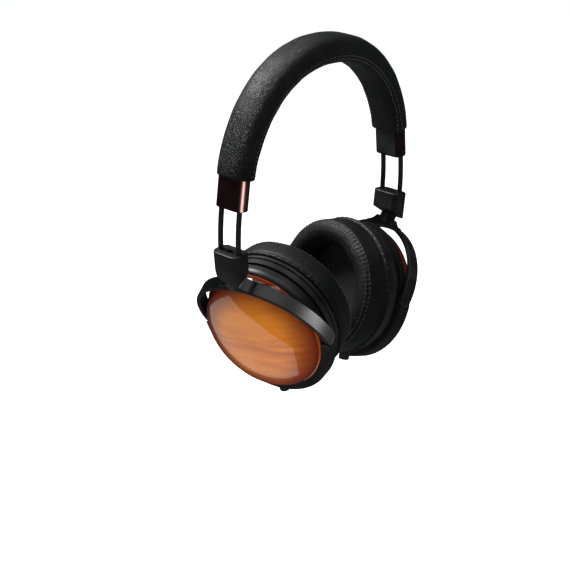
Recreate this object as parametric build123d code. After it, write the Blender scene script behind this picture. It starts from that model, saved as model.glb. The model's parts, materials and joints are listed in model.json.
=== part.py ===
from build123d import *
import math
import os

# Over ear headphones. Millimetres. +Z is up, -Y is the wearer's front, +X the wearer's left.
# The origin is the middle of the headband's underside, where it rests on the head.
# The left side (+X) is modelled and then mirrored to the right side.

# ---- driving dimensions -------------------------------------------------------------------
# headband: a super-ellipse centre line, thicker at the crown than at the legs
BAND_HALF_SPAN = 70.5
BAND_RISE = 80.2
BAND_POWER = 2.14
CROWN_HALF_THICK = 8.1
LEG_HALF_THICK = 6.5
BAND_WIDTH = 22.8
BAND_EDGE = 5.0
LEATHER_END_DEG = 14.0
LEATHER_THICK = 1.0
STRIP_WIDTH = 8.4
STRIP_THICK = 1.2
STRIP_OFFSET = 1.0
STRIP_END_DEG = 4.5
BAND_SPANS = 14

# slide rods: arcs about one far centre on each side, so the slide turns about that centre
ROD_CENTRE = (-76.8, -87.5)
ROD_ARC_RADIUS = 150.0
ROD_RADIUS = 1.55
ROD_SPACING = 13.8
ROD_ENDS_DEG = (-6.16, 17.8)
ROD_BORE_GAP = 0.06
STOP_RADIUS = 2.4
STOP_DEG = (16.4, 17.5)
SLIDE_TRAVEL_DEG = 8.4
CHANNEL_GAP = 0.4

# end cap of the headband: a rounded box that leans in with the band
CAP_BASE = (71.2, -69.5)
CAP_LEAN_DEG = 7.0
CAP_THICK = 9.8
CAP_WIDTH = 20.2
CAP_CORNER = 4.4
CAP_HEIGHT = 20.6
CAP_WALL = 0.6
CAP_FLOOR = 1.2
CAP_WINDOW = 14.4
COVER_FLANGE = 0.6
LEAF_THICK = 0.3
GUIDE_TOP = 24.0
GUIDE_SECTION = (6.6, 17.4, 3.1)
GUIDE_SHIFT = 0.6
RIVET_RADIUS = 1.2
RIVET_HEIGHTS = (8.0, 15.0)

# slider block under the rods
BLOCK_X = 72.5
BLOCK_TOP_Z = -94.6
BLOCK_LEAN_DEG = 6.0
BLOCK_THICK = 12.0
BLOCK_WIDTH = 20.2
BLOCK_CORNER = 4.4
BLOCK_DROP = 18.2
BLOCK_WALL = 0.9
BLOCK_SLOT = (2.2, 5.0, 2.0)

# yoke, in its own frame: X along the tilt pivots, Y up the neck, Z outward
NECK_LEAN_DEG = 37.5
SWIVEL_REST_DEG = 9.5
PIVOT_CENTRE = (41.2, 0.0, -150.9)
YOKE_OUTER = 45.0
YOKE_INNER = 42.3
YOKE_WIDTH = 8.7
YOKE_EDGE = 0.7
NECK_RADIUS = 5.0
NECK_TOP = 51.2
GUSSET_HALF = 6.0
BLOCK_FLOOR = 51.5
BLOCK_FLOOR_THICK = 1.5
SWIVEL_PIN_RADIUS = 1.6
SWIVEL_PIN_ENDS = (43.4, 54.4)
CLIP_RADIUS = 2.3
CLIP_ENDS = (53.2, 53.8)
RUNNING_GAP = 0.06

# cup, in its own frame: X along the tilt pivots, Y up, Z outward from the pad's back plane
CUP_TILT_DEG = 21.75
PIVOT_DEPTH = 11.9
PAD_OUTER = 42.2
PAD_SEAM = (39.9, -17.1)
PAD_CROWN = (34.0, -19.2)
PAD_OPENING = 27.0
PAD_SKIN = 1.2
PLATE_THICK = 1.5
BAFFLE_RADIUS = 41.8
BAFFLE_FACES = (0.3, 2.3)
SHELL_FRONT = 2.9
SHELL_STEP = 41.2
SHELL_OUTER = 41.5
SHELL_BACK = 15.8
SHELL_INNER = 37.2
RIM_OUTER = 45.2
WOOD_RADIUS = 38.8
WOOD_BASE = 15.9
WOOD_STEP = 1.1
WOOD_RISE = 15.8
WOOD_FULLNESS = (0.62, 0.552)
WOOD_WALL = 4.0
SPIGOT_DEPTH = 1.4
PIVOT_PIN_RADIUS = 1.5
PIVOT_PIN_TIP = 44.2
BOSS_CIRCLE = 34.4
BOSS_RADIUS = 3.3
SCREW_RADIUS = 1.1
DRIVER_RADIUS = 21.0
MAGNET_RADIUS = 11.0
JACK_RADIUS = 3.4
JACK_ENDS = (36.0, 48.6)
JACK_BORE_RADIUS = 1.78
JACK_BORE_LENGTH = 11.8
WIRE_RADIUS = 0.5


# ---- frames ---------------------------------------------------------------------------------
def make_yoke_frame():
    lean = math.radians(NECK_LEAN_DEG)
    turn = math.radians(SWIVEL_REST_DEG)
    out = Vector(math.cos(lean), 0, -math.sin(lean))
    back = Vector(0, 1, 0)
    pivot_dir = back * math.cos(turn) + out * math.sin(turn)
    out_dir = out * math.cos(turn) - back * math.sin(turn)
    return Plane(origin=PIVOT_CENTRE, x_dir=pivot_dir, z_dir=out_dir)


def make_cup_frame(yoke):
    tilt = math.radians(CUP_TILT_DEG)
    out_dir = yoke.z_dir * math.cos(tilt) + yoke.y_dir * math.sin(tilt)
    origin = yoke.origin - out_dir * PIVOT_DEPTH
    return Plane(origin=origin, x_dir=yoke.x_dir, z_dir=out_dir)


def make_cap_frame():
    lean = math.radians(CAP_LEAN_DEG)
    return Plane(
        origin=(CAP_BASE[0], 0, CAP_BASE[1]),
        x_dir=(math.cos(lean), 0, math.sin(lean)),
        z_dir=(-math.sin(lean), 0, math.cos(lean)),
    )


def make_block_frame():
    lean = math.radians(BLOCK_LEAN_DEG)
    return Plane(
        origin=(BLOCK_X, 0, BLOCK_TOP_Z),
        x_dir=(math.cos(lean), 0, -math.sin(lean)),
        z_dir=(math.sin(lean), 0, math.cos(lean)),
    )


YOKE = make_yoke_frame().location
CUP = make_cup_frame(make_yoke_frame()).location
CAP = make_cap_frame().location
BLOCK = make_block_frame().location


# ---- helpers --------------------------------------------------------------------------------
def turned(points):
    """A body of revolution about Z from (radius, z) corner points."""
    face = make_face(Polyline([(radius, 0, z) for radius, z in points], close=True))
    return revolve(face, Axis.Z)


def ring(inner, outer, low, high):
    """A plain washer about Z."""
    return turned([(inner, low), (outer, low), (outer, high), (inner, high)])


def bar(x_range, y_range, z_range):
    """A box from its ranges."""
    size = [high - low for low, high in (x_range, y_range, z_range)]
    middle = [(high + low) / 2 for low, high in (x_range, y_range, z_range)]
    return Pos(*middle) * Box(*size)


def rounded_post(size_x, size_y, corner, low, high):
    """A rounded rectangle standing on Z."""
    return Pos(0, 0, low) * extrude(RectangleRounded(size_x, size_y, corner), high - low)


def cylinder_x(radius, low, high):
    return Plane.YZ.offset(low) * extrude(Circle(radius), high - low)


def cylinder_y(radius, low, high):
    return Pos(0, (low + high) / 2, 0) * Rot(90, 0, 0) * Cylinder(radius, high - low)


def both_sides(solid):
    return [solid, mirror(solid, Plane.YZ)]


def band_point(angle, offset):
    """A point of the headband's centre line, moved out along its normal."""
    cosine = math.cos(angle)
    sine = math.sin(angle)
    base_z = CROWN_HALF_THICK - BAND_RISE
    x = BAND_HALF_SPAN * math.copysign(abs(cosine) ** (2 / BAND_POWER), cosine)
    z = base_z + BAND_RISE * sine ** (2 / BAND_POWER)
    normal_x = math.copysign((abs(x) / BAND_HALF_SPAN) ** (BAND_POWER - 1), x) / BAND_HALF_SPAN
    normal_z = ((z - base_z) / BAND_RISE) ** (BAND_POWER - 1) / BAND_RISE
    size = math.hypot(normal_x, normal_z)
    return x + offset * normal_x / size, z + offset * normal_z / size


def band_half_thickness(angle):
    return LEG_HALF_THICK + (CROWN_HALF_THICK - LEG_HALF_THICK) * math.sin(angle)


def band_curve(end_deg, offset_of):
    """A spline along the arch from one leg to the other."""
    start = math.radians(end_deg)
    step = (math.pi - 2 * start) / BAND_SPANS
    points = []
    for index in range(BAND_SPANS + 1):
        angle = start + index * step
        x, z = band_point(angle, offset_of(angle))
        points.append((x, 0, z))
    return Spline(points)


def band_solid(end_deg, low_of, high_of, width):
    """The arch between two offsets of the centre line."""
    inner = band_curve(end_deg, low_of)
    outer = band_curve(end_deg, high_of)
    ends = [Line(inner @ 0, outer @ 0), Line(inner @ 1, outer @ 1)]
    return extrude(make_face([inner, outer] + ends), width / 2, both=True)


def band_envelope(end_deg, inset):
    """The rounded outside of the padded headband, moved in by an inset."""
    body = band_solid(
        end_deg,
        lambda angle: inset - band_half_thickness(angle),
        lambda angle: band_half_thickness(angle) - inset,
        BAND_WIDTH - 2 * inset,
    )
    long_edges = body.edges().filter_by(lambda edge: edge.length > BAND_HALF_SPAN)
    return fillet(long_edges, BAND_EDGE - inset)


def rod_arc(radius, low_deg, high_deg, y):
    """A piece of torus along the slide rods' path."""
    start = math.radians(low_deg)
    spot = (
        ROD_CENTRE[0] + ROD_ARC_RADIUS * math.cos(start),
        y,
        ROD_CENTRE[1] + ROD_ARC_RADIUS * math.sin(start),
    )
    along = (-math.sin(start), 0, math.cos(start))
    axis = Axis((ROD_CENTRE[0], 0, ROD_CENTRE[1]), (0, -1, 0))
    return revolve(Plane(origin=spot, z_dir=along) * Circle(radius), axis, high_deg - low_deg)


def rod_arcs(radius, low_deg, high_deg):
    return [rod_arc(radius, low_deg, high_deg, side * ROD_SPACING / 2) for side in (-1, 1)]


# ---- headband: leather, two pads, spring strip -----------------------------------------------
def make_spring_strip():
    strip = band_solid(
        STRIP_END_DEG,
        lambda angle: STRIP_OFFSET - STRIP_THICK / 2,
        lambda angle: STRIP_OFFSET + STRIP_THICK / 2,
        STRIP_WIDTH,
    )
    holes = []
    for rivet in make_rivets():
        holes += both_sides(rivet)
    return strip - holes


def make_padding():
    """The foam inside the leather, split above and below the spring strip."""
    core = band_envelope(LEATHER_END_DEG + 1, LEATHER_THICK)
    cuts = []
    channel_top = ROD_ENDS_DEG[1] + SLIDE_TRAVEL_DEG + 0.8
    for channel in rod_arcs(STOP_RADIUS + CHANNEL_GAP, 10, channel_top):
        cuts += both_sides(channel)
    guide_room = CAP * rounded_post(CAP_THICK, CAP_WIDTH, CAP_CORNER, 0, GUIDE_TOP + 0.2)
    cuts += both_sides(guide_room)
    core = core - cuts
    reach = 2 * CROWN_HALF_THICK
    top_face = STRIP_OFFSET + STRIP_THICK / 2
    low_face = STRIP_OFFSET - STRIP_THICK / 2
    above = band_solid(STRIP_END_DEG, lambda angle: top_face, lambda angle: reach, BAND_WIDTH)
    below = band_solid(STRIP_END_DEG, lambda angle: -reach, lambda angle: low_face, BAND_WIDTH)
    return core & above, core & below


def make_headband():
    upper, lower = make_padding()
    return {
        "headband_leather": band_envelope(LEATHER_END_DEG, 0)
        - band_envelope(LEATHER_END_DEG - 2, LEATHER_THICK),
        "headband_padding_upper": upper,
        "headband_padding_lower": lower,
        "headband_spring_strip": make_spring_strip(),
    }


# ---- end cap: metal shell, inner cover, rod guide, grip leaf ----------------------------------
def make_rivets():
    return [CAP * Pos(0, 0, height) * cylinder_x(RIVET_RADIUS, -2.4, 3.6) for height in RIVET_HEIGHTS]


def make_cap_hollow():
    size_x = CAP_THICK - 2 * CAP_WALL
    size_y = CAP_WIDTH - 2 * CAP_WALL
    return rounded_post(size_x, size_y, CAP_CORNER - CAP_WALL, CAP_FLOOR, CAP_HEIGHT + 1)


def make_cap_body():
    body = rounded_post(CAP_THICK, CAP_WIDTH, CAP_CORNER, 0, CAP_HEIGHT)
    return fillet(body.faces().sort_by(Axis.Z)[0].edges(), 0.6)


def make_cap_window():
    half = CAP_WINDOW / 2
    outside = -CAP_THICK
    return bar((outside, CAP_WALL - CAP_THICK / 2), (-half, half), (CAP_FLOOR, CAP_HEIGHT + 1))


def make_cap_cover():
    """The flat inner cover: a plate in the window with a flange behind its edges."""
    plate = make_cap_body() & make_cap_window()
    inside = CAP_WALL - CAP_THICK / 2
    half = CAP_WINDOW / 2 + 0.8
    flange = bar((inside, inside + COVER_FLANGE), (-half, half), (CAP_FLOOR, CAP_HEIGHT - 0.4))
    return plate + (flange & make_cap_hollow())


def make_slide_guide(strip):
    size_x, size_y, corner = GUIDE_SECTION
    body = Pos(GUIDE_SHIFT, 0, 0) * rounded_post(size_x, size_y, corner, CAP_FLOOR, GUIDE_TOP)
    pockets = []
    for side in (-1, 1):
        middle = side * ROD_SPACING / 2
        pockets.append(bar((-3, -0.8), (middle - 1.3, middle + 1.3), (5.4, 16.6)))
    body = CAP * (body - pockets)
    bores = rod_arcs(ROD_RADIUS + ROD_BORE_GAP, 0, 20)
    return body - bores - strip - make_rivets()


def make_grip_leaf():
    """A steel leaf with a bowed finger that presses on each rod."""
    back = -3.2
    half = ROD_SPACING / 2 - 0.1
    reach = half + 0.7
    plate = bar((back, back + LEAF_THICK), (-reach, reach), (5.0, 17.0))
    plate = plate - bar((back - 1, back + 1), (-4.6, 4.6), (6.2, 15.8))
    crest = -1.2
    outer = ThreePointArc((back + LEAF_THICK, 0, 6), (crest, 0, 11), (back + LEAF_THICK, 0, 16))
    inner = ThreePointArc((back, 0, 6), (crest - LEAF_THICK, 0, 11), (back, 0, 16))
    ends = [Line(inner @ 0, outer @ 0), Line(inner @ 1, outer @ 1)]
    finger = extrude(make_face([inner, outer] + ends), 0.7, both=True)
    return CAP * (plate + Pos(0, half, 0) * finger + Pos(0, -half, 0) * finger)


def make_end_cap(strip):
    shell = make_cap_body() - make_cap_hollow() - make_cap_window()
    return {
        "end_cap": CAP * shell - rod_arcs(ROD_RADIUS + 0.5, 2, 14),
        "end_cap_cover": CAP * make_cap_cover(),
        "slide_guide": make_slide_guide(strip),
        "grip_leaf": make_grip_leaf(),
    }


# ---- slider: rods, stops, block and its cover --------------------------------------------------
def make_block_shield():
    """The block's outline from the side: an upright front edge, the rear edge drawn in below."""
    half = BLOCK_WIDTH / 2
    heel_z = 1.6 - BLOCK_DROP
    rear = ThreePointArc((0, half, -3.5), (0, half - 0.9, -9.0), (0, half - 3.2, 2.2 + heel_z))
    heel = ThreePointArc(rear @ 1, (0, half - 4.8, heel_z + 0.6), (0, half - 7.0, heel_z))
    low = -BLOCK_DROP
    chin = ThreePointArc((0, 4.2 - half, low), (0, 1.2 - half, low + 1.2), (0, -half, low + 4.2))
    outline = [
        Line((0, -half, 1), (0, half, 1)),
        Line((0, half, 1), rear @ 0),
        rear,
        heel,
        Line(heel @ 1, chin @ 0),
        chin,
        Line(chin @ 1, (0, -half, 1)),
    ]
    return extrude(make_face(outline), 2 * BLOCK_THICK, both=True)


def make_below_block():
    """Everything under the block's slanted floor plane."""
    return YOKE * Pos(0, BLOCK_FLOOR - 50, 0) * Box(100, 100, 100)


def make_block_body():
    body = rounded_post(BLOCK_THICK, BLOCK_WIDTH, BLOCK_CORNER, -2 * BLOCK_DROP, 0)
    body = fillet(body.faces().sort_by(Axis.Z)[-1].edges(), 0.7)
    return BLOCK * (body & make_block_shield()) - make_below_block()


def make_block_cavity():
    half = BLOCK_THICK / 2 - BLOCK_WALL
    room = BLOCK * bar((-half, half), (-4.6, 4.6), (-BLOCK_DROP - 2, -4))
    floor = YOKE * Pos(0, BLOCK_FLOOR + BLOCK_FLOOR_THICK - 50, 0) * Box(100, 100, 100)
    return room - floor


def make_block_cover():
    """A thin plate let into the block's inner face."""
    frame = Plane(origin=(-BLOCK_THICK / 2, 0, -5.4), x_dir=(0, 1, 0), z_dir=(1, 0, 0))
    return BLOCK * extrude(frame * RectangleRounded(13.2, 7.6, 1.6), BLOCK_WALL)


def make_slider():
    body = make_block_body()
    slot_x, slot_y, slot_z = BLOCK_SLOT
    slot = BLOCK * Box(slot_x, slot_y, 2 * slot_z)
    rods = rod_arcs(ROD_RADIUS, *ROD_ENDS_DEG)
    bore = YOKE * cylinder_y(SWIVEL_PIN_RADIUS + RUNNING_GAP, NECK_TOP, SWIVEL_PIN_ENDS[1])
    cover = make_block_cover()
    stops = [stop - rod for stop, rod in zip(rod_arcs(STOP_RADIUS, *STOP_DEG), rods)]
    return {
        "slide_rod_front": rods[0],
        "slide_rod_rear": rods[1],
        "rod_stops": stops,
        "slider_block": body - make_block_cavity() - [slot, bore, cover] - rods,
        "slider_cover": cover,
    }


# ---- yoke: the C and its neck, swivel pin and clip ---------------------------------------------
def make_yoke_band():
    half = YOKE_WIDTH / 2
    band = ring(YOKE_INNER, YOKE_OUTER, -half, half)
    band = fillet(band.edges(), YOKE_EDGE)
    upper = bar((-60, 60), (0, 60), (-half, half))
    eyes = cylinder_x(half, -60, 60)
    return band & (upper + eyes)


def make_neck():
    """A round post that flares into the band on both sides."""
    foot = YOKE_OUTER - 1.2
    flare = 13.0
    waist = NECK_TOP - 3.2
    left = ThreePointArc((-flare, foot, 0), (-flare + 4.6, foot + 1.5, 0), (-GUSSET_HALF, waist, 0))
    right = ThreePointArc((flare, foot, 0), (flare - 4.6, foot + 1.5, 0), (GUSSET_HALF, waist, 0))
    low = foot - 1.4
    outline = [
        left,
        right,
        Line(left @ 1, right @ 1),
        Line((-flare, foot, 0), (-flare + 3, low, 0)),
        Line((flare, foot, 0), (flare - 3, low, 0)),
        Line((-flare + 3, low, 0), (flare - 3, low, 0)),
    ]
    gusset = extrude(make_face(outline), YOKE_WIDTH / 2 - 0.5, both=True)
    return gusset + cylinder_y(NECK_RADIUS, foot, NECK_TOP)


def make_yoke():
    pin = cylinder_y(SWIVEL_PIN_RADIUS, *SWIVEL_PIN_ENDS)
    groove_radius = SWIVEL_PIN_RADIUS - 0.3
    groove = cylinder_y(CLIP_RADIUS, *CLIP_ENDS) - cylinder_y(groove_radius, *CLIP_ENDS)
    clip = groove - bar((-1.2, 1.2), (CLIP_ENDS[0], CLIP_ENDS[1]), (0, CLIP_RADIUS))
    body = make_yoke_band() + make_neck()
    hole_radius = PIVOT_PIN_RADIUS + RUNNING_GAP
    holes = []
    for side in (-1, 1):
        ends = sorted((side * (YOKE_INNER - 1), side * (PIVOT_PIN_TIP + 0.1)))
        holes.append(cylinder_x(hole_radius, *ends))
    return {
        "yoke": YOKE * (body - pin - holes),
        "swivel_pin": YOKE * (pin - groove),
        "swivel_clip": YOKE * clip,
    }


# ---- cup: ear pad -----------------------------------------------------------------------------
def pad_outline(inset):
    """The pad's section: inner wall, crowned front, seam corner and outer wall."""
    inner = PAD_OPENING + inset
    seam = (PAD_SEAM[0] - inset, PAD_SEAM[1] + inset)
    crown = (PAD_CROWN[0], PAD_CROWN[1] + inset)
    outer = (PAD_OUTER - inset, 0)
    front = ThreePointArc((inner, 0, -15), (crown[0], 0, crown[1]), (seam[0], 0, seam[1]))
    wall = ThreePointArc(
        (seam[0], 0, seam[1]),
        ((seam[0] + outer[0]) / 2 + 0.6, 0, seam[1] / 2),
        (outer[0], 0, outer[1]),
    )
    return [
        Line((inner, 0, 0), (inner, 0, -15)),
        front,
        wall,
        Line((outer[0], 0, 0), (inner, 0, 0)),
    ]


def make_pad():
    behind = ring(0, PAD_OUTER + 5, -PLATE_THICK, 5)
    foam = revolve(make_face(pad_outline(PAD_SKIN)), Axis.Z) - behind
    plate = ring(PAD_OPENING + PAD_SKIN + 0.3, PAD_OUTER - PAD_SKIN, -PLATE_THICK, 0)
    cloth_radius = PAD_OPENING + PAD_SKIN
    cloth = Pos(0, 0, -PLATE_THICK / 2) * Cylinder(cloth_radius, 0.4)
    skin = revolve(make_face(pad_outline(0)), Axis.Z) - foam - plate
    skin = skin - ring(0, cloth_radius + 0.3, -PLATE_THICK, 1)
    return {
        "ear_pad_leather": skin,
        "ear_pad_foam": foam,
        "ear_pad_plate": plate,
        "ear_pad_cloth": cloth,
    }


# ---- cup: baffle and driver -------------------------------------------------------------------
def spots(count, radius, start_deg):
    """Evenly spaced places on a circle."""
    places = []
    for index in range(count):
        angle = math.radians(start_deg + 360 * index / count)
        places.append(Pos(radius * math.cos(angle), radius * math.sin(angle), 0))
    return places


def make_screws():
    """Baffle screws, heads sunk in the baffle's front."""
    screws = []
    for place in spots(4, BOSS_CIRCLE, 45):
        head = turned([(0, 0.4), (2.0, 0.4), (2.0, 1.2), (SCREW_RADIUS, 1.6), (0, 1.6)])
        shank = turned([(0, 1.6), (SCREW_RADIUS, 1.6), (SCREW_RADIUS, 10), (0, 11)])
        cross = [bar((-1.3, 1.3), (-0.25, 0.25), (0, 0.9)), bar((-0.25, 0.25), (-1.3, 1.3), (0, 0.9))]
        screws.append(place * (head + shank - cross))
    return screws


def make_baffle():
    plate = ring(DRIVER_RADIUS, BAFFLE_RADIUS, *BAFFLE_FACES)
    vents = [place * Cylinder(1.5, 10) for place in spots(16, 27.5, 0)]
    sinks = []
    for place in spots(4, BOSS_CIRCLE, 45):
        sinks.append(place * Pos(0, 0, 0.7) * Cylinder(2.0, 1.0))
        sinks.append(place * turned([(0, 1.2), (2.0, 1.2), (SCREW_RADIUS, 1.6), (0, 1.6)]))
        sinks.append(place * Pos(0, 0, 2) * Cylinder(SCREW_RADIUS, 4))
    return plate - vents - sinks


def make_driver():
    back = BAFFLE_FACES[1]
    basket = turned(
        [
            (DRIVER_RADIUS - 1.7, back),
            (DRIVER_RADIUS + 3.2, back),
            (DRIVER_RADIUS + 3.2, back + 1.2),
            (DRIVER_RADIUS - 0.5, back + 1.2),
            (DRIVER_RADIUS - 0.5, back + 6.5),
            (MAGNET_RADIUS, back + 6.5),
            (MAGNET_RADIUS, back + 5.2),
            (DRIVER_RADIUS - 1.7, back + 5.2),
        ]
    )
    vents = [place * Cylinder(1.2, 40) for place in spots(8, 15.5, 22.5)]
    magnet = ring(2.0, MAGNET_RADIUS, back + 3.6, back + 10)
    rim = 18.9
    top = ThreePointArc((0, 0, back + 0.6), (9, 0, back + 1.0), (rim, 0, back + 2.0))
    low = ThreePointArc((0, 0, back + 0.9), (9, 0, back + 1.3), (rim, 0, back + 2.3))
    ends = [Line(top @ 0, low @ 0), Line(top @ 1, low @ 1)]
    diaphragm = revolve(make_face([top, low] + ends), Axis.Z)
    grille = Pos(0, 0, 1.0) * Cylinder(DRIVER_RADIUS, 0.8)
    holes = []
    for count, radius in ((6, 4), (12, 8), (18, 12), (24, 16)):
        holes += [place * Cylinder(0.9, 5) for place in spots(count, radius, 0)]
    return {
        "driver_basket": basket - vents,
        "driver_magnet": magnet,
        "driver_diaphragm": diaphragm,
        "driver_grille": grille - holes,
    }


# ---- cup: shell, wood cup, jack, pins, wires ---------------------------------------------------
def make_pivot_pins():
    pins = []
    for side in (-1, 1):
        shank = cylinder_x(PIVOT_PIN_RADIUS, *sorted((side * (SHELL_INNER - 0.1), side * PIVOT_PIN_TIP)))
        head = cylinder_x(2.4, *sorted((side * (SHELL_INNER - 1.1), side * (SHELL_INNER - 0.1))))
        pins.append(Pos(0, 0, PIVOT_DEPTH) * (shank + head))
    return pins


def make_shell_wall():
    lip = SHELL_INNER - 0.8
    arc = ThreePointArc((SHELL_OUTER, 0, 12.4), (SHELL_OUTER - 0.5, 0, 14.4), (39.9, 0, SHELL_BACK))
    corners = [
        (39.9, 0, SHELL_BACK),
        (lip, 0, SHELL_BACK),
        (lip, 0, SHELL_BACK - 1.6),
        (SHELL_INNER, 0, SHELL_BACK - 1.6),
        (SHELL_INNER, 0, SHELL_FRONT),
        (SHELL_STEP, 0, SHELL_FRONT),
        (SHELL_STEP, 0, 6.8),
        (39.6, 0, 6.8),
        (39.6, 0, 9.4),
        (SHELL_OUTER, 0, 9.4),
        (SHELL_OUTER, 0, 12.4),
    ]
    return revolve(make_face([arc, Polyline(corners)]), Axis.Z)


def make_lower_rim():
    """The rim below the pivots that carries on the yoke's round outline."""
    low = PIVOT_DEPTH - YOKE_WIDTH / 2
    high = PIVOT_DEPTH + YOKE_WIDTH / 2
    band = ring(39.7, RIM_OUTER, low, high)
    circles = band.edges().filter_by(GeomType.CIRCLE)
    outer_edges = circles.filter_by(lambda edge: edge.radius > RIM_OUTER - 0.1)
    band = fillet(outer_edges, 1.2)
    eye_room = Pos(0, 0, PIVOT_DEPTH) * cylinder_x(YOKE_WIDTH / 2 + 0.6, -60, 60)
    below = bar((-60, 60), (-60, 0), (low, high))
    return (band & below) - eye_room


def make_shell(jack_body, pins):
    body = make_shell_wall() + make_lower_rim()
    for side in (-1, 1):
        ends = sorted((side * (SHELL_INNER + 0.5), side * (YOKE_INNER - 0.5)))
        body = body + Pos(0, 0, PIVOT_DEPTH) * cylinder_x(3.4, *ends)
    wall_room = ring(0, SHELL_INNER + 0.4, SHELL_FRONT, SHELL_BACK - 1.6)
    for place in spots(4, BOSS_CIRCLE, 45):
        post = place * Pos(0, 0, 7) * Cylinder(BOSS_RADIUS, 2 * (7 - BAFFLE_FACES[1]))
        body = body + (post & wall_room)
    screw_holes = [place * Pos(0, 0, 5.5) * Cylinder(SCREW_RADIUS, 11) for place in spots(4, BOSS_CIRCLE, 45)]
    return body - screw_holes - pins - jack_body


def wood_curve(radius, base, rise):
    """The dome's profile from its edge to its crown: upright at the edge, level at the crown."""
    edge_pull, crown_pull = WOOD_FULLNESS
    return Bezier(
        (radius, 0, base),
        (radius, 0, base + edge_pull * rise),
        (crown_pull * radius, 0, base + rise),
        (0, 0, base + rise),
    )


def make_wood_cup():
    step = WOOD_BASE + WOOD_STEP
    spigot = SHELL_INNER - 1.0
    outer = wood_curve(WOOD_RADIUS, step, WOOD_RISE)
    inner_radius = WOOD_RADIUS - WOOD_WALL - 2
    inner = wood_curve(inner_radius, WOOD_BASE, WOOD_RISE + WOOD_STEP - WOOD_WALL)
    crown_line = Line(inner @ 1, outer @ 1)
    edge = Polyline(
        [
            inner @ 0,
            (inner_radius, 0, WOOD_BASE - SPIGOT_DEPTH),
            (spigot, 0, WOOD_BASE - SPIGOT_DEPTH),
            (spigot, 0, WOOD_BASE),
            (WOOD_RADIUS + 0.5, 0, WOOD_BASE),
            (WOOD_RADIUS + 0.5, 0, step),
            outer @ 0,
        ]
    )
    return revolve(make_face([outer, crown_line, inner, edge]), Axis.Z)


def make_jack():
    """The socket under the cup, with its bore opening downward."""
    top, mouth = JACK_ENDS
    body = cylinder_y(JACK_RADIUS, -mouth, -top)
    body = fillet(body.edges().sort_by(Axis.Y)[0], 0.7)
    bore = cylinder_y(JACK_BORE_RADIUS, -mouth, JACK_BORE_LENGTH - mouth)
    return Pos(0, 0, PIVOT_DEPTH) * (body - bore)


def make_wires():
    """Two leads from the socket to the driver's terminals."""
    wires = []
    for side in (-1, 1):
        start = (side * 1.4, -JACK_ENDS[0], PIVOT_DEPTH)
        route = [start, (side * 1.4, -31, PIVOT_DEPTH), (side * 4, -25, 9.5), (side * 6, -19.5, 9.2)]
        path = FilletPolyline(*route, radius=3)
        profile = Plane(origin=start, z_dir=(0, 1, 0)) * Circle(WIRE_RADIUS)
        wires.append(sweep(profile, path))
    return wires


def make_cup():
    pins = make_pivot_pins()
    jack = make_jack()
    jack_room = Pos(0, 0, PIVOT_DEPTH) * cylinder_y(JACK_RADIUS, -60, -JACK_ENDS[0])
    pieces = {
        "cup_shell": make_shell(jack_room, pins),
        "wood_cup": make_wood_cup() - jack_room,
        "pivot_pins": pins,
        "baffle": make_baffle(),
        "baffle_screws": make_screws(),
        "jack_socket": jack,
        "driver_wires": make_wires(),
    }
    pieces.update(make_driver())
    pieces.update(make_pad())
    placed = {}
    for name, shape in pieces.items():
        solids = shape if isinstance(shape, list) else [shape]
        moved = [CUP * solid for solid in solids]
        placed[name] = moved if isinstance(shape, list) else moved[0]
    return placed


# ---- the whole object --------------------------------------------------------------------------
def mirrored(shape):
    if isinstance(shape, list):
        return [mirror(solid, Plane.YZ) for solid in shape]
    return mirror(shape, Plane.YZ)


def build():
    nodes = make_headband()
    nodes["strip_rivets"] = [side for rivet in make_rivets() for side in both_sides(rivet)]
    handed = {}
    handed.update(make_end_cap(nodes["headband_spring_strip"]))
    handed.update(make_slider())
    handed.update(make_yoke())
    handed.update(make_cup())
    for name, shape in handed.items():
        nodes[name + "_left"] = shape
        nodes[name + "_right"] = mirrored(shape)
    return nodes


def write(nodes):
    os.makedirs("parts", exist_ok=True)
    for name, shape in nodes.items():
        solid = Compound(children=shape) if isinstance(shape, list) else shape
        export_step(solid, "parts/" + name + ".step")


if __name__ == "__main__":
    write(build())
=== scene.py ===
import json
import math

import bpy
import numpy as np
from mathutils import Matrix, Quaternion, Vector


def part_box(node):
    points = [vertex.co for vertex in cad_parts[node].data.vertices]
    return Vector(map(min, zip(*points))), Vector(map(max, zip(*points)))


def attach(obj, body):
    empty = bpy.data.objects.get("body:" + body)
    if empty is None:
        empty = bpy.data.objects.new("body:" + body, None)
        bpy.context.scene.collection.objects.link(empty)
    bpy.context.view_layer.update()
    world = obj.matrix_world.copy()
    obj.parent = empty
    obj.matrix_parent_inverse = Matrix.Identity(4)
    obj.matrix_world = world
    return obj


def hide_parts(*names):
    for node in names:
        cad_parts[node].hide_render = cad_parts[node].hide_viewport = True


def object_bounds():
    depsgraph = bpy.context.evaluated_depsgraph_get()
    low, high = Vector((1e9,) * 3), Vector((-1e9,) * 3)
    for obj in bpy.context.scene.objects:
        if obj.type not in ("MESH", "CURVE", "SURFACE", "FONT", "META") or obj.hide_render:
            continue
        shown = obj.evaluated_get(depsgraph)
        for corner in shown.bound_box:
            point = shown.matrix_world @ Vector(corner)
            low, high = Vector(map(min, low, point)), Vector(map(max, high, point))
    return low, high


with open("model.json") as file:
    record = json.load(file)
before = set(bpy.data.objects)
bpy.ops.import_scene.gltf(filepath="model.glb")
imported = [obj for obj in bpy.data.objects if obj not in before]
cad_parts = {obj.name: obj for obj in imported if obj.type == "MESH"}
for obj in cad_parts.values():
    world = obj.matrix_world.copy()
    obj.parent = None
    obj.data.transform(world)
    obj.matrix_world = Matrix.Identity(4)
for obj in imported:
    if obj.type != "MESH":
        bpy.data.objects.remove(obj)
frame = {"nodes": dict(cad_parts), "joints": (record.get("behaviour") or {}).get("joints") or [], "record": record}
cad_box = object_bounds()

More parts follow.
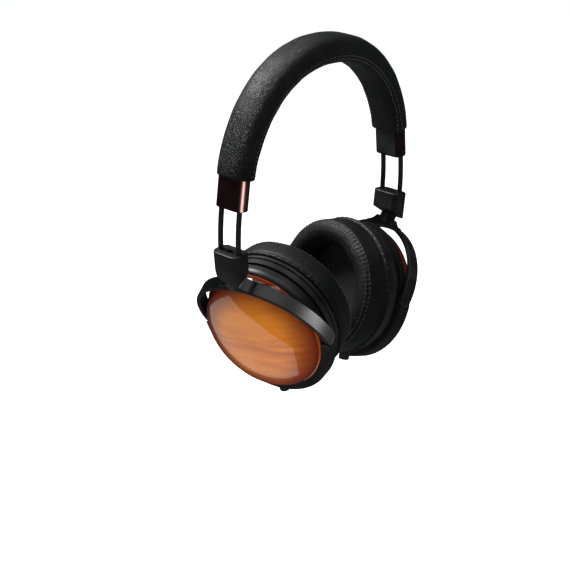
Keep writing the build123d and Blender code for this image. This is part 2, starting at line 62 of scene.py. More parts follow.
# Over ear headphones. Metres, in the CAD model's frame: +Z up, -Y the wearer's front, +X the wearer's left.
# Left-side pieces are built on +X and mirrored to the right side.

SIDES = {"left": 1, "right": -1}
MM = 0.001

# ---- camera ---------------------------------------------------------------------------------
CAMERA_PLACE = Vector((-0.53921, -0.46175, 0.17106))
CAMERA_TARGET = Vector((-0.14837, -0.10985, -0.05805))
CAMERA_ROLL_DEG = 0.91
CAMERA_LENS = 79.93

# ---- driving dimensions, as in the CAD model --------------------------------------------------
BAND_HALF_SPAN = 70.5 * MM
BAND_RISE = 80.2 * MM
BAND_POWER = 2.14
CROWN_HALF_THICK = 8.1 * MM
LEG_HALF_THICK = 6.5 * MM
LEATHER_END_DEG = 14.0
BAND_HALF_WIDTH = (11.1 * MM, 11.6 * MM)

PIVOT_DEPTH = 11.9 * MM
CLOTH_RADIUS = 28.1 * MM
DOME_TOP = 32.8 * MM


# ---- frames of the two cups --------------------------------------------------------------------
def joint(name):
    return next(item for item in frame["joints"] if item["name"] == name)


def mount(name):
    return next(item for item in frame["record"]["mounts"] if item["name"] == name)


def cup_axes(side):
    """Origin behind the ear pad, and the cup's pivot, up and outward directions."""
    sign = SIDES[side]
    pivot = Vector(joint("tilt_" + side)["axis"]).normalized() * -sign
    up = -Vector(mount("cable_socket_" + side)["axis"]).normalized()
    out = pivot.cross(up) * sign
    origin = Vector(joint("tilt_" + side)["pos_m"]) - out * PIVOT_DEPTH
    return origin, pivot, up, out


# ---- mesh helpers --------------------------------------------------------------------------------
def smoothstep(low, high, value):
    t = np.clip((value - low) / (high - low), 0, 1)
    return t * t * (3 - 2 * t)


def bump_at(value, middle, width):
    return np.exp(-(((value - middle) / width) ** 2))


def grid_faces(rows, columns, wrap_rows=False, wrap_columns=True):
    """Quads over a grid of points stored row by row."""
    faces = []
    for i in range(rows if wrap_rows else rows - 1):
        for j in range(columns if wrap_columns else columns - 1):
            k = (i + 1) % rows
            m = (j + 1) % columns
            faces.append((i * columns + j, k * columns + j, k * columns + m, i * columns + m))
    return faces


def make_piece(name, points, faces, material, body):
    mesh = bpy.data.meshes.new(name)
    mesh.from_pydata([tuple(p) for p in points], [], faces)
    mesh.validate()
    mesh.shade_smooth()
    piece = bpy.data.objects.new(name, mesh)
    bpy.context.scene.collection.objects.link(piece)
    mesh.materials.append(material)
    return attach(piece, body)


def make_handed(name, side, points, faces, material, body):
    """A piece built on the left, mirrored if it belongs to the right."""
    points = np.array(points, float).reshape(-1, 3)
    if side == "right":
        points = points * (-1, 1, 1)
        faces = [face[::-1] for face in faces]
    return make_piece(name + "_" + side, points, faces, material, body + "_" + side)


def resample(points, count, closed=False):
    """Equally spaced points along a polyline."""
    points = np.array(points, float)
    if closed:
        points = np.vstack([points, points[:1]])
    steps = np.linalg.norm(np.diff(points, axis=0), axis=1)
    along = np.concatenate([[0], np.cumsum(steps)])
    wanted = np.linspace(0, along[-1], count + 1)[:-1] if closed else np.linspace(0, along[-1], count)
    return np.stack([np.interp(wanted, along, points[:, k]) for k in range(points.shape[1])], 1)


def spline_loop(corners, per_span):
    """A closed Catmull-Rom curve through the corners."""
    corners = np.array(corners, float)
    count = len(corners)
    t = np.arange(per_span)[:, None] / per_span
    points = []
    for i in range(count):
        a, b, c, d = (corners[(i + k - 1) % count] for k in range(4))
        square = 2 * a - 5 * b + 4 * c - d
        cube = 3 * b - a - 3 * c + d
        points.append(0.5 * (2 * b + (c - a) * t + square * t**2 + cube * t**3))
    return np.vstack(points)


def stitches(spots, length, radius):
    """Thread stitches: short bowed tubes that dive into the leather at both ends.

    Each spot is (place, direction along the stitch, outward direction).
    """
    stations, sides = 7, 6
    points, faces = [], []
    for place, along, out in spots:
        across = np.cross(along, out)
        first = len(points)
        for i in range(stations):
            t = i / (stations - 1) * 2 - 1
            centre = place + along * (t * length / 2) + out * (radius * (0.9 - 1.9 * t**4))
            size = radius * (1 - 0.35 * t**4)
            for j in range(sides):
                angle = 2 * math.pi * j / sides
                points.append(centre + size * (math.cos(angle) * across + math.sin(angle) * out))
        for i in range(stations - 1):
            for j in range(sides):
                m = (j + 1) % sides
                a = first + i * sides
                faces.append((a + j, a + m, a + sides + m, a + sides + j))
        faces.append(tuple(first + j for j in range(sides)))
        faces.append(tuple(first + (stations - 1) * sides + j for j in reversed(range(sides))))
    return points, faces


# ---- material helpers ------------------------------------------------------------------------------
class Finish:
    """A node material being put together around one Principled shader."""

    def __init__(self, name, **values):
        self.material = bpy.data.materials.new(name)
        self.material.use_nodes = True
        self.tree = self.material.node_tree
        self.shader = self.tree.nodes["Principled BSDF"]
        self.set(self.shader, values)
        self.place = self.node("ShaderNodeTexCoord").outputs["Object"]

    def set(self, node, values):
        for key, value in values.items():
            socket = node.inputs[key]
            if isinstance(value, bpy.types.NodeSocket):
                self.tree.links.new(value, socket)
            else:
                socket.default_value = value

    def node(self, kind, values=None, **settings):
        made = self.tree.nodes.new(kind)
        for key, value in settings.items():
            setattr(made, key, value)
        self.set(made, values or {})
        return made

    def stretch(self, place, scale):
        return self.node("ShaderNodeMapping", {"Vector": place, "Scale": scale}).outputs[0]

    def noise(self, scale, detail=3.0, roughness=0.5, place=None, distortion=0.0):
        values = {"Vector": place or self.place, "Scale": scale, "Detail": detail}
        values.update({"Roughness": roughness, "Distortion": distortion})
        return self.node("ShaderNodeTexNoise", values).outputs["Fac"]

    def cells(self, scale, feature="DISTANCE_TO_EDGE", place=None):
        values = {"Vector": place or self.place, "Scale": scale}
        return self.node("ShaderNodeTexVoronoi", values, feature=feature).outputs["Distance"]

    def remap(self, value, low, high, to_low=0.0, to_high=1.0):
        values = {"Value": value, "From Min": low, "From Max": high, "To Min": to_low, "To Max": to_high}
        return self.node("ShaderNodeMapRange", values, interpolation_type="SMOOTHSTEP").outputs[0]

    def math(self, operation, a, b=0.0):
        made = self.node("ShaderNodeMath", operation=operation)
        self.set(made, {0: a, 1: b})
        return made.outputs[0]

    def blend(self, factor, a, b):
        made = self.node("ShaderNodeMix", data_type="RGBA")
        self.set(made, {"Factor": factor})
        self.set_colour(made.inputs[6], a)
        self.set_colour(made.inputs[7], b)
        return made.outputs[2]

    def set_colour(self, socket, value):
        if isinstance(value, bpy.types.NodeSocket):
            self.tree.links.new(value, socket)
        else:
            socket.default_value = (*value, 1.0)

    def bump(self, height, distance, strength=1.0, under=None):
        values = {"Height": height, "Distance": distance, "Strength": strength}
        if under is not None:
            values["Normal"] = under
        return self.node("ShaderNodeBump", values).outputs[0]

    def done(self, colour=None, roughness=None, normal=None, coat_normal=None):
        if colour is not None:
            self.set_colour(self.shader.inputs["Base Color"], colour)
        wanted = {"Roughness": roughness, "Normal": normal, "Coat Normal": coat_normal}
        self.set(self.shader, {key: value for key, value in wanted.items() if value is not None})
        return self.material


# ---- materials ----------------------------------------------------------------------------------
def leather(name, dark, light, roughness, cell, depth):
    """Black leather: pebbled grain, creases between the cells darkened with painted shade, patchy sheen."""
    finish = Finish(name, **{"Specular IOR Level": 0.45, "Sheen Weight": 0.03, "Sheen Roughness": 0.45})
    finish.set(finish.shader, {"Sheen Tint": (0.8, 0.82, 0.85, 1.0)})
    edges = finish.cells(1 / cell)
    grain = finish.remap(edges, 0.0, 0.22)
    fine = finish.noise(2.6 / cell, 2.0)
    soft = finish.noise(60, 3.0)
    height = finish.math("ADD", grain, finish.math("MULTIPLY", fine, 0.5))
    normal = finish.bump(height, depth)
    normal = finish.bump(finish.noise(0.25 / cell, 3.0), depth * 2.5, 0.5, normal)
    patch = finish.remap(soft, 0.3, 0.7)
    # painted shade: the creases between the grain cells are darkened in colour, following the bump's low spots
    crease_shade = finish.remap(edges, 0.0, 0.12, 0.55, 1.0)
    colour = finish.blend(patch, dark, light)
    colour = finish.blend(crease_shade, tuple(0.45 * c for c in dark), colour)
    uneven = finish.math("ADD", soft, finish.math("MULTIPLY", fine, 0.4))
    rough = finish.remap(uneven, 0.4, 1.0, roughness - 0.07, roughness + 0.09)
    return finish.done(colour, rough, normal)


def plastic(name, dark, light, roughness, texture, depth, specular=0.5):
    """Moulded or painted black: fine texture, faint wear on the edges, uneven gloss."""
    finish = Finish(name, **{"Specular IOR Level": specular})
    fine = finish.noise(1 / texture, 3.0)
    soft = finish.noise(45, 4.0, 0.6)
    edge = finish.node("ShaderNodeNewGeometry").outputs["Pointiness"]
    worn = finish.math("MULTIPLY", finish.remap(edge, 0.52, 0.60), finish.remap(soft, 0.35, 0.65, 0.2, 1.0))
    colour = finish.blend(finish.remap(soft, 0.3, 0.7), dark, light)
    colour = finish.blend(finish.math("MULTIPLY", worn, 0.35), colour, tuple(3.2 * c + 0.015 for c in light))
    uneven = finish.math("ADD", soft, finish.math("MULTIPLY", fine, 0.5))
    rough = finish.remap(uneven, 0.45, 1.05, roughness - 0.06, roughness + 0.08)
    return finish.done(colour, rough, finish.bump(fine, depth))


def metal(name, dark, light, roughness, brushed):
    """Metal with fine drawn lines along Z and slight tarnish."""
    finish = Finish(name, Metallic=1.0)
    lines = finish.noise(1.0, 3.0, 0.6, finish.stretch(finish.place, brushed))
    soft = finish.noise(70, 3.0)
    colour = finish.blend(finish.remap(soft, 0.3, 0.7), dark, light)
    rough = finish.remap(finish.math("ADD", soft, lines), 0.7, 1.3, roughness - 0.03, roughness + 0.04)
    return finish.done(colour, rough, finish.bump(lines, 0.000002, 0.4))


def woven(name, dark, light, pitch):
    """Thin black cloth: two crossing sets of threads, with painted shade in the gaps between them."""
    finish = Finish(name, **{"Roughness": 0.9, "Sheen Weight": 0.25, "Sheen Roughness": 0.5})
    split = finish.node("ShaderNodeSeparateXYZ", {"Vector": finish.place})
    warp = finish.math("SINE", finish.math("MULTIPLY", split.outputs[1], 2 * math.pi / pitch))
    weft = finish.math("SINE", finish.math("MULTIPLY", split.outputs[2], 2 * math.pi / pitch))
    weave = finish.remap(finish.math("MULTIPLY", warp, weft), -1.0, 1.0)
    # painted shade: the colour is darker in the low gaps of the weave and lighter on the raised crossings, with
    # random variation
    colour = finish.blend(finish.math("MULTIPLY", weave, finish.noise(900, 2.0)), dark, light)
    return finish.done(colour, None, finish.bump(weave, 0.00008))


def foam(name):
    finish = Finish(name, Roughness=0.95)
    pores = finish.cells(900, "F1")
    # painted shade: the pits of the foam's cells are darker in colour, following the bump's low spots
    colour = finish.blend(pores, (0.03, 0.03, 0.032), (0.10, 0.10, 0.105))
    return finish.done(colour, None, finish.bump(pores, 0.0003))


def thread(name):
    finish = Finish(name, **{"Roughness": 0.55, "Sheen Weight": 0.3})
    twist = finish.noise(2600, 2.0)
    colour = finish.blend(twist, (0.020, 0.020, 0.021), (0.075, 0.075, 0.078))
    return finish.done(colour, None, finish.bump(twist, 0.00006))


def lacquered_wood(side):
    """Figured maple under clear lacquer: amber in the middle, burnt red-brown at the rim, and a painted orange
    highlight on the lower step.
    """
    coat = {"Coat Weight": 1.0, "Coat Roughness": 0.015, "Coat IOR": 1.9}
    finish = Finish("lacquered_wood_" + side, **coat)
    finish.set(finish.shader, {"Specular IOR Level": 0.12, "Coat Tint": (1.0, 0.93, 0.86, 1.0)})
    origin, pivot, up, out = cup_axes(side)
    place = {0: finish.place, 1: origin}
    offset = finish.node("ShaderNodeVectorMath", place, operation="SUBTRACT").outputs[0]
    parts = []
    for axis in (pivot, up, out):
        dot = finish.node("ShaderNodeVectorMath", {0: offset, 1: axis}, operation="DOT_PRODUCT")
        parts.append(dot.outputs["Value"])
    local = finish.node("ShaderNodeCombineXYZ", {0: parts[0], 1: parts[1], 2: parts[2]}).outputs[0]
    aside = finish.math("ADD", parts[0], 0.0035)
    above = finish.math("SUBTRACT", parts[1], 0.002)
    flat = finish.node("ShaderNodeCombineXYZ", {0: aside, 1: above}).outputs[0]
    radius = finish.node("ShaderNodeVectorMath", {0: flat}, operation="LENGTH").outputs["Value"]
    warp = finish.noise(34, 2.0, place=local)
    figure = finish.noise(1.0, 2.0, 0.45, finish.stretch(local, (26, 215, 45)), 0.6)
    broad = finish.noise(1.0, 1.0, 0.4, finish.stretch(local, (9, 60, 20)), 0.3)
    pores = finish.noise(1.0, 4.0, 0.7, finish.stretch(local, (1500, 60, 1500)))
    amber = finish.blend(finish.remap(figure, 0.32, 0.68), (0.32, 0.078, 0.003), (0.47, 0.145, 0.006))
    amber = finish.blend(finish.remap(broad, 0.35, 0.7, 0.0, 0.55), amber, (0.50, 0.172, 0.008))
    amber = finish.blend(finish.remap(pores, 0.5, 0.75, 0.0, 0.35), amber, (0.26, 0.055, 0.004))
    ragged = finish.math("ADD", radius, finish.math("MULTIPLY", finish.math("SUBTRACT", warp, 0.5), 0.006))
    burst = finish.remap(ragged, 0.019, 0.0365)
    colour = finish.blend(burst, amber, (0.11, 0.012, 0.002))
    edge = finish.remap(radius, 0.0335, 0.0400)
    colour = finish.blend(finish.math("MULTIPLY", edge, 0.85), colour, (0.035, 0.004, 0.0015))
    # painted highlight: the lower step of the wood is coloured bright orange, standing in for light caught on its
    # edge
    lip_highlight = finish.remap(parts[2], 0.0169, 0.0177, 0.8, 0.0)
    colour = finish.blend(lip_highlight, colour, (0.36, 0.07, 0.005))
    rough = finish.remap(figure, 0.3, 0.7, 0.30, 0.42)
    return finish.done(colour, rough, finish.bump(pores, 0.00002, 0.4))


def make_materials():
    black = (0.0050, 0.0050, 0.0052)
    grey = (0.0090, 0.0090, 0.0094)
    band_dark, band_light = (0.0040, 0.0040, 0.0042), (0.0070, 0.0070, 0.0073)
    pad_dark, pad_light = (0.0036, 0.0036, 0.0038), (0.0066, 0.0066, 0.0069)
    yoke_dark, yoke_light = (0.0065, 0.0065, 0.0068), (0.0105, 0.0105, 0.011)
    made = {
        "band_leather": leather("band_leather", band_dark, band_light, 0.39, 0.00075, 0.00010),
        "pad_leather": leather("pad_leather", pad_dark, pad_light, 0.41, 0.00055, 0.00005),
        "foam": foam("foam"),
        "cloth": woven("cloth", (0.004, 0.004, 0.004), (0.016, 0.016, 0.017), 0.0009),
        "thread": thread("thread"),
        "spring_steel": metal("spring_steel", (0.42, 0.42, 0.43), (0.55, 0.55, 0.56), 0.30, (900, 900, 40)),
        "steel": metal("steel", (0.45, 0.45, 0.46), (0.6, 0.6, 0.62), 0.25, (700, 700, 60)),
        "bronze": metal("bronze", (0.13, 0.072, 0.064), (0.19, 0.11, 0.098), 0.27, (1500, 1500, 30)),
        "rod": plastic("rod", (0.008, 0.008, 0.008), (0.013, 0.013, 0.0135), 0.30, 0.0004, 0.000008),
        "yoke": plastic("yoke", yoke_dark, yoke_light, 0.38, 0.00025, 0.000014, 0.6),
        "satin": plastic("satin", black, grey, 0.42, 0.00022, 0.000016),
        "textured": plastic("textured", black, grey, 0.5, 0.0004, 0.00004),
        "natural": plastic("natural", (0.45, 0.45, 0.43), (0.55, 0.55, 0.52), 0.5, 0.0004, 0.00002),
        "screw": metal("screw", (0.05, 0.05, 0.05), (0.09, 0.09, 0.09), 0.4, (900, 900, 900)),
        "jack": plastic("jack", (0.009, 0.009, 0.009), (0.013, 0.013, 0.013), 0.26, 0.0003, 0.000006),
        "wire": plastic("wire", (0.20, 0.012, 0.012), (0.30, 0.02, 0.02), 0.45, 0.0003, 0.00001),
        "film": plastic("film", (0.35, 0.28, 0.17), (0.50, 0.40, 0.25), 0.3, 0.0006, 0.00002),
    }
    for side in SIDES:
        made["wood_" + side] = lacquered_wood(side)
    return made


MATERIAL_OF = {
    "headband_padding_upper": "foam",
    "headband_padding_lower": "foam",
    "headband_spring_strip": "spring_steel",
    "strip_rivets": "steel",
    "end_cap": "bronze",
    "end_cap_cover": "textured",
    "slide_guide": "natural",
    "grip_leaf": "spring_steel",
    "slide_rod_front": "rod",
    "slide_rod_rear": "rod",
    "rod_stops": "steel",
    "slider_block": "satin",
    "slider_cover": "textured",
    "yoke": "yoke",
    "swivel_pin": "steel",
    "swivel_clip": "spring_steel",
    "cup_shell": "satin",
    "pivot_pins": "steel",
    "baffle": "satin",
    "baffle_screws": "screw",
    "jack_socket": "jack",
    "driver_wires": "wire",
    "driver_basket": "textured",
    "driver_magnet": "steel",
    "driver_diaphragm": "film",
    "driver_grille": "screw",
    "ear_pad_foam": "foam",
    "ear_pad_plate": "textured",
}


def paint_nodes(materials):
    for name, node in frame["nodes"].items():
        side = next((side for side in SIDES if name.endswith("_" + side)), "")
        base = name.removesuffix("_" + side) if side else name
        if base == "wood_cup":
            finish = materials["wood_" + side]
        else:
            finish = materials.get(MATERIAL_OF.get(base))
        if finish is not None:
            node.data.materials.clear()
            node.data.materials.append(finish)


# ---- headband leather ------------------------------------------------------------------------------
def arch(count):
    """Equally spaced stations along the headband's centre line, from the left end to the right.

    Each row is x, z, outward x, outward z, half thickness and half width.
    """
    start = math.radians(LEATHER_END_DEG)
    t = np.linspace(start, math.pi - start, 2400)
    base = CROWN_HALF_THICK - BAND_RISE
    x = BAND_HALF_SPAN * np.sign(np.cos(t)) * np.abs(np.cos(t)) ** (2 / BAND_POWER)
    z = base + BAND_RISE * np.sin(t) ** (2 / BAND_POWER)
    out_x = np.sign(x) * (np.abs(x) / BAND_HALF_SPAN) ** (BAND_POWER - 1) / BAND_HALF_SPAN
    out_z = ((z - base) / BAND_RISE) ** (BAND_POWER - 1) / BAND_RISE
    size = np.hypot(out_x, out_z)
    thick = LEG_HALF_THICK + (CROWN_HALF_THICK - LEG_HALF_THICK) * np.sin(t)
    low, high = BAND_HALF_WIDTH
    width = low + (high - low) * np.sin(t)
    return resample(np.stack([x, z, out_x / size, out_z / size, thick, width], 1), count)


SECTION_POWER = (2.9, 3.7)
SEAM_HEIGHT = -0.52
STITCH_PITCH = 2.3 * MM


def section(count):
    """The padded band's section as (across, outward) in units of the half width and half thickness."""
    angle = 2 * math.pi * np.arange(4000) / 4000
    cosine, sine = np.cos(angle), np.sin(angle)
    power = np.where(sine > 0, SECTION_POWER[0], SECTION_POWER[1])
    across = np.sign(cosine) * np.abs(cosine) ** (2 / power)
    outward = np.sign(sine) * np.abs(sine) ** (2 / power)
    outline = np.stack([across * BAND_HALF_WIDTH[0], outward * LEG_HALF_THICK], 1)
    scaled = resample(outline, count, closed=True)
    return scaled / (BAND_HALF_WIDTH[0], LEG_HALF_THICK)


def band_surface(stations, outline):
    """Points of the headband's leather with its seams, puckers and soft unevenness."""
    across, outward = outline[:, 0][None, :], outline[:, 1][None, :]
    x, z, out_x, out_z, thick, width = (stations[:, k][:, None] for k in range(6))
    along = np.arange(len(stations))[:, None] * STITCH_PITCH / STATIONS_PER_STITCH
    phase = 2 * math.pi * along / STITCH_PITCH
    side = smoothstep(0.80, 0.97, np.abs(across))
    drop = (outward - SEAM_HEIGHT) * thick
    groove = 0.65 * MM * bump_at(drop, 0, 0.55 * MM) * side
    pucker = 0.22 * MM * np.cos(phase) * bump_at(np.abs(drop), 1.2 * MM, 0.9 * MM) * side
    waves = 0.05 * MM * np.sin(phase / 9 + 2.0 * across) + 0.04 * MM * np.sin(phase / 5.3 - 3.1 * outward)
    swell = 0.25 * MM * (1 - across**2) * smoothstep(0, 1, outward)
    lift = -groove + pucker + waves + swell
    lean = np.hypot(across * 0.6, outward)
    push_across, push_out = 0.6 * across / lean, outward / lean
    y = across * width + lift * push_across
    radial = outward * thick + lift * push_out
    return np.stack([x + radial * out_x, np.broadcast_to(y, radial.shape), z + radial * out_z], 2)


STATIONS_PER_STITCH = 8
HEM_RADIUS = 1.3 * MM


def hem_rows(stations, outline, end):
    """The rolled end of the leather: it turns in and back up inside, round the end cap."""
    index = 0 if end == "left" else len(stations) - 1
    station = stations[index]
    x, z, out_x, out_z, thick, width = station
    down = np.array([out_z, 0, -out_x]) if end == "left" else np.array([-out_z, 0, out_x])
    rows = []
    edge = band_surface(stations, outline)[index]
    middle = np.array([x, 0, z])
    for k in range(1, 9):
        angle = math.pi * k / 8
        inset = HEM_RADIUS * (1 - math.cos(angle)) / 2
        reach = HEM_RADIUS * math.sin(angle)
        flat = edge - middle
        length = np.linalg.norm(flat, axis=1, keepdims=True)
        rows.append(middle + flat * (1 - 1.5 * inset / length) + down * reach)
    last = rows[-1]
    rows.append(last - down * 3 * MM)
    return rows


def make_headband(materials):
    length = np.linalg.norm(np.diff(arch(400)[:, :2], axis=0), axis=1).sum()
    count = int(length / STITCH_PITCH) * STATIONS_PER_STITCH + 1
    stations = arch(count)
    outline = section(112)
    rows = list(band_surface(stations, outline))
    rows = hem_rows(stations, outline, "left")[::-1] + rows + hem_rows(stations, outline, "right")
    faces = grid_faces(len(rows), len(outline))
    points = np.array(rows).reshape(-1, 3)
    piece = make_piece("headband_leather_cover", points, faces, materials["band_leather"], "headband")
    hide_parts("headband_leather")

    surface = band_surface(stations, outline)
    spots = []
    for front in (-1, 1):
        for row, above in ((0, 1.15 * MM), (1, -1.1 * MM)):
            for k in range(STATIONS_PER_STITCH // 2, count - 1, STATIONS_PER_STITCH):
                spots.append(seam_spot(stations, surface, outline, k, front, above))
    points, faces = stitches(spots, 1.65 * MM, 0.23 * MM)
    thread_piece = make_piece("headband_stitching", points, faces, materials["thread"], "headband")


def seam_spot(stations, surface, outline, k, front, above):
    """Place, direction and outward direction of one stitch beside the seam."""
    thick = stations[k, 4]
    wanted = SEAM_HEIGHT + above / thick
    on_side = np.where(np.sign(outline[:, 0]) == front, np.abs(outline[:, 1] - wanted), 9)
    on_side = on_side + np.where(np.abs(outline[:, 0]) < 0.75, 5, 0)
    j = int(on_side.argmin())
    place = surface[k, j]
    along = surface[k + 1, j] - surface[k - 1, j]
    along = along / np.linalg.norm(along)
    around = surface[k, (j + 1) % len(outline)] - surface[k, j - 1]
    out = np.cross(along, around)
    out = out / np.linalg.norm(out)
    if out[1] * front < 0:
        out = -out
    return place, along, out


# ---- ear pads ------------------------------------------------------------------------------------------
PAD_OUTLINE = (
    (28.3, -0.25), (27.5, -1.2), (27.1, -3.5), (27.0, -8.0), (27.3, -12.5), (28.5, -16.2), (30.9, -18.5),
    (33.9, -19.25), (36.8, -18.85), (38.7, -18.0), (39.55, -17.35), (39.75, -16.95), (40.15, -16.75),
    (40.75, -16.0), (41.35, -13.0), (41.85, -9.0), (42.1, -5.8), (42.0, -4.4), (41.6, -3.8), (42.25, -3.1),
    (43.0, -2.3), (43.05, -1.2), (42.4, -0.5), (41.6, -0.3), (38.0, -0.1), (32.0, -0.1),
)
PAD_TURNS = 360
SEAM_PLACE = np.array((39.72, -17.0)) * MM
PIPING_PLACE = np.array((42.5, -2.0)) * MM
PAD_STITCHES = 90


def pad_surface():
    """The pad's leather as a grid of (angle, outline point) in the cup's own frame."""
    outline = resample(spline_loop(np.array(PAD_OUTLINE) * MM, 8), 150, closed=True)
    tangent = np.roll(outline, -1, axis=0) - np.roll(outline, 1, axis=0)
    tangent = tangent / np.linalg.norm(tangent, axis=1, keepdims=True)
    outward = np.stack([-tangent[:, 1], tangent[:, 0]], 1)
    if (outward[:, 0] * (outline[:, 0] - outline[:, 0].mean())).sum() < 0:
        outward = -outward
    angle = 2 * math.pi * np.arange(PAD_TURNS * 2) / (PAD_TURNS * 2)
    r, z = outline[:, 0][None, :], outline[:, 1][None, :]
    a = angle[:, None]
    to_seam = np.hypot(r - SEAM_PLACE[0], z - SEAM_PLACE[1])
    to_piping = np.hypot(r - PIPING_PLACE[0], z - PIPING_PLACE[1])
    pucker = 0.15 * MM * np.cos(PAD_STITCHES * a) * bump_at(to_seam, 1.1 * MM, 1.3 * MM)
    lazy = 0.5 + 0.5 * np.sin(3 * a + 0.7) * np.sin(5 * a + 1.9)
    gather = np.sin(57 * a + 2.0 * np.sin(4 * a)) + 0.6 * np.sin(83 * a + 1.3 + 2.4 * np.sin(3 * a))
    piping = 0.17 * MM * gather * (0.4 + 0.6 * lazy) * bump_at(to_piping, 0, 1.7 * MM)
    inner = smoothstep(30 * MM, 27.4 * MM, r) * smoothstep(-1 * MM, -5 * MM, z)
    folds = 0.16 * MM * inner * np.sin(31 * a + 90 * z / MM * 0.02 + 1.5 * np.sin(2 * a))
    waves = 0.12 * MM * np.sin(6 * a + 0.35 * z / MM) + 0.09 * MM * np.sin(11 * a - 0.2 * r / MM + 1.0)
    lift = pucker + piping + folds + waves * smoothstep(-0.5 * MM, -3 * MM, z)
    r_moved = r + lift * outward[:, 0][None, :]
    z_moved = z + lift * outward[:, 1][None, :]
    return angle, r_moved, z_moved


def to_row(points):
    """Points of the left cup's frame, (pivot, up, out), into the row's frame."""
    origin, pivot, up, out = (np.array(v) for v in cup_axes("left"))
    points = np.asarray(points, float)
    return origin + points[..., :1] * pivot + points[..., 1:2] * up + points[..., 2:3] * out


def make_ear_pad(side, materials):
    angle, r, z = pad_surface()
    local = np.stack([r * np.cos(angle)[:, None], r * np.sin(angle)[:, None], z], 2)
    points = to_row(local.reshape(-1, 3))
    faces = [face[::-1] for face in grid_faces(r.shape[0], r.shape[1], wrap_rows=True)]
    piece = make_handed("ear_pad_cover", side, points, faces, materials["pad_leather"], "cup")
    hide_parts("ear_pad_leather_" + side)

    zero = to_row(np.zeros(3))
    spots = []
    for radius, depth, out_r, out_z in ((38.85, -17.85, 0.42, -0.91), (40.6, -16.25, 0.86, -0.51)):
        for k in range(PAD_STITCHES):
            a = 2 * math.pi * (k + 0.5) / PAD_STITCHES
            place = (radius * MM * math.cos(a), radius * MM * math.sin(a), depth * MM)
            ahead = (-math.sin(a), math.cos(a), 0)
            away = (out_r * math.cos(a), out_r * math.sin(a), out_z)
            spots.append((to_row(place), to_row(ahead) - zero, to_row(away) - zero))
    points, faces = stitches(spots, 1.9 * MM, 0.23 * MM)
    row = make_handed("ear_pad_stitching", side, points, faces, materials["thread"], "cup")


CLOTH_RINGS = 24
CLOTH_SAG = 0.5 * MM


def make_cloth(side, materials):
    """The stretched cloth over the driver, sagging a little in the middle."""
    turns = 96
    points = [(0, 0, -0.45 * MM)]
    for i in range(1, CLOTH_RINGS + 1):
        radius = CLOTH_RADIUS * i / CLOTH_RINGS
        depth = -0.95 * MM + CLOTH_SAG * (1 - (i / CLOTH_RINGS) ** 2)
        for j in range(turns):
            a = 2 * math.pi * j / turns
            ripple = 0.06 * MM * math.sin(9 * a) * (i / CLOTH_RINGS) ** 3
            points.append((radius * math.cos(a), radius * math.sin(a), depth + ripple))
    faces = [(0, 1 + (j + 1) % turns, 1 + j) for j in range(turns)]
    for i in range(CLOTH_RINGS - 1):
        for j in range(turns):
            a, b = 1 + i * turns, 1 + (i + 1) * turns
            m = (j + 1) % turns
            faces.append((a + j, a + m, b + m, b + j))
    points = to_row(points)
    piece = make_handed("ear_pad_mesh_cloth", side, points, faces, materials["cloth"], "cup")
    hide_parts("ear_pad_cloth_" + side)


# ---- studio -----------------------------------------------------------------------------------------
def make_camera():
    camera = bpy.data.objects.new("camera", bpy.data.cameras.new("camera"))
    bpy.context.scene.collection.objects.link(camera)
    camera.data.lens = CAMERA_LENS
    camera.data.clip_start = 0.01
    camera.location = CAMERA_PLACE
    camera.rotation_mode = "QUATERNION"
    aim = (CAMERA_TARGET - CAMERA_PLACE).to_track_quat("-Z", "Y")
    camera.rotation_quaternion = aim @ Quaternion((0, 0, 1), math.radians(CAMERA_ROLL_DEG))
    bpy.context.scene.camera = camera


def make_floor():
    finish = Finish("floor", **{"Roughness": 0.9, "Emission Color": (1, 1, 1, 1), "Emission Strength": 0.9})
    cloudy = finish.noise(3, 2.0)
    colour = finish.blend(cloudy, (0.88, 0.88, 0.88), (0.92, 0.92, 0.92))
    finish.done(colour)
    bpy.ops.mesh.primitive_plane_add(size=16, location=(0, 0, cad_box[0].z - 0.12))
    floor = bpy.context.object
    floor.name = "floor"
    floor.data.materials.append(finish.material)
    floor.visible_glossy = False


def middle_of(name):
    low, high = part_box(name)
    return (Vector(low) + Vector(high)) / 2


def make_softbox(name, direction, distance, size, power, target=None):
    """A rectangular soft light aimed at a target, or at the middle of the object."""
    middle = target or (cad_box[0] + cad_box[1]) / 2
    data = bpy.data.lights.new(name, "AREA")
    data.shape = "RECTANGLE"
    data.size, data.size_y = size
    data.energy = power
    lamp = bpy.data.objects.new(name, data)
    bpy.context.scene.collection.objects.link(lamp)
    direction = Vector(direction).normalized()
    lamp.location = middle + direction * distance
    lamp.rotation_mode = "QUATERNION"
    lamp.rotation_quaternion = (-direction).to_track_quat("-Z", "Y")
    lamp.visible_camera = False
    return lamp


def link_lamp(lamp, names, state):
    """Makes the lamp light only the named nodes (INCLUDE), or everything but them (EXCLUDE)."""
    linked = bpy.data.collections.new(lamp.name + "_links")
    for name in names:
        linked.objects.link(frame["nodes"][name])
    for entry in linked.collection_objects:
        entry.light_linking.link_state = state
    lamp.light_linking.receiver_collection = linked


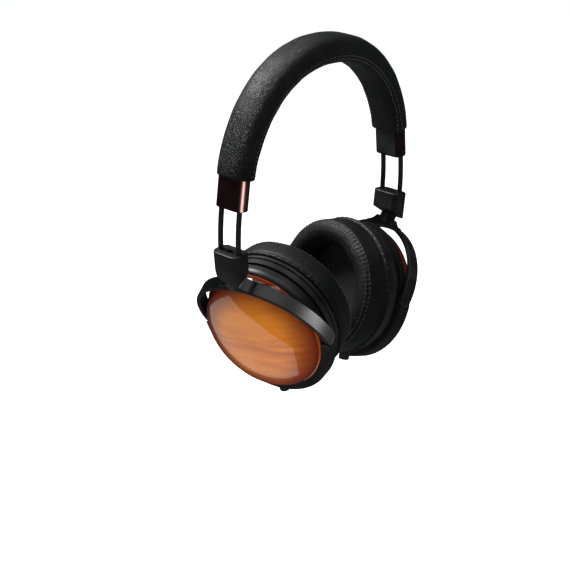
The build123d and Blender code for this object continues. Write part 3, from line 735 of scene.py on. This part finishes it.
def make_world():
    world = bpy.data.worlds.new("studio")
    bpy.context.scene.world = world
    world.use_nodes = True
    tree = world.node_tree
    room = tree.nodes["Background"]
    room.inputs["Color"].default_value = (0.9, 0.95, 1.0, 1)
    room.inputs["Strength"].default_value = 0.04
    seen = tree.nodes.new("ShaderNodeBackground")
    seen.inputs["Color"].default_value = (1.0, 1.0, 1.0, 1)
    seen.inputs["Strength"].default_value = 1.0
    rays = tree.nodes.new("ShaderNodeLightPath")
    mix = tree.nodes.new("ShaderNodeMixShader")
    tree.links.new(rays.outputs["Is Camera Ray"], mix.inputs[0])
    tree.links.new(room.outputs[0], mix.inputs[1])
    tree.links.new(seen.outputs[0], mix.inputs[2])
    tree.links.new(mix.outputs[0], tree.nodes["World Output"].inputs[0])


def make_studio():
    make_camera()
    make_floor()
    make_world()
    bpy.context.scene.view_settings.view_transform = "Standard"
    make_softbox("top_softbox", (-0.1, -0.15, 1.0), 1.2, (1.1, 1.1), 5)
    rear = make_softbox("rear_softbox", (-0.17, 0.62, 0.74), 1.0, (0.42, 0.3), 11)
    link_lamp(rear, ("yoke_right", "yoke_left"), "EXCLUDE")
    cap = middle_of("end_cap_right")
    strip = make_softbox("cap_strip", (-0.1, -0.93, -0.37), 0.25, (0.14, 0.15), 0.6, cap)
    link_lamp(strip, ("end_cap_right",), "INCLUDE")
    arm = make_softbox("arm_softbox", (0.53, -0.82, 0.24), 1.0, (0.42, 0.4), 8)
    link_lamp(arm, ("yoke_right",), "INCLUDE")
    fill = make_softbox("side_fill", (-0.6, -0.78, -0.1), 1.1, (0.6, 0.7), 11.6)
    fill.visible_glossy = False
    link_lamp(fill, ("wood_cup_right", "wood_cup_left"), "INCLUDE")
    make_window_softbox()


WINDOW_DISTANCE = 300 * MM
WINDOW_SIZE = (320 * MM, 520 * MM)
WINDOW_ROLL_DEG = 35
WINDOW_POWER = 0.3


def make_window_softbox():
    """A plain rectangular softbox that the main camera sees mirrored in the crown of the near dome."""
    origin, _, _, out = cup_axes("right")
    crown = origin + out * DOME_TOP
    toward = (crown - CAMERA_PLACE).normalized().reflect(out)
    lamp = make_softbox("window_softbox", toward, WINDOW_DISTANCE, WINDOW_SIZE, WINDOW_POWER, crown)
    roll = Quaternion((0, 0, 1), math.radians(WINDOW_ROLL_DEG))
    lamp.rotation_quaternion = lamp.rotation_quaternion @ roll
    lamp.visible_diffuse = False
    link_lamp(lamp, ("wood_cup_right",), "INCLUDE")


# ---- the whole scene -----------------------------------------------------------------------------------
def main():
    make_studio()
    materials = make_materials()
    paint_nodes(materials)
    make_headband(materials)
    for side in SIDES:
        make_ear_pad(side, materials)
        make_cloth(side, materials)


main()
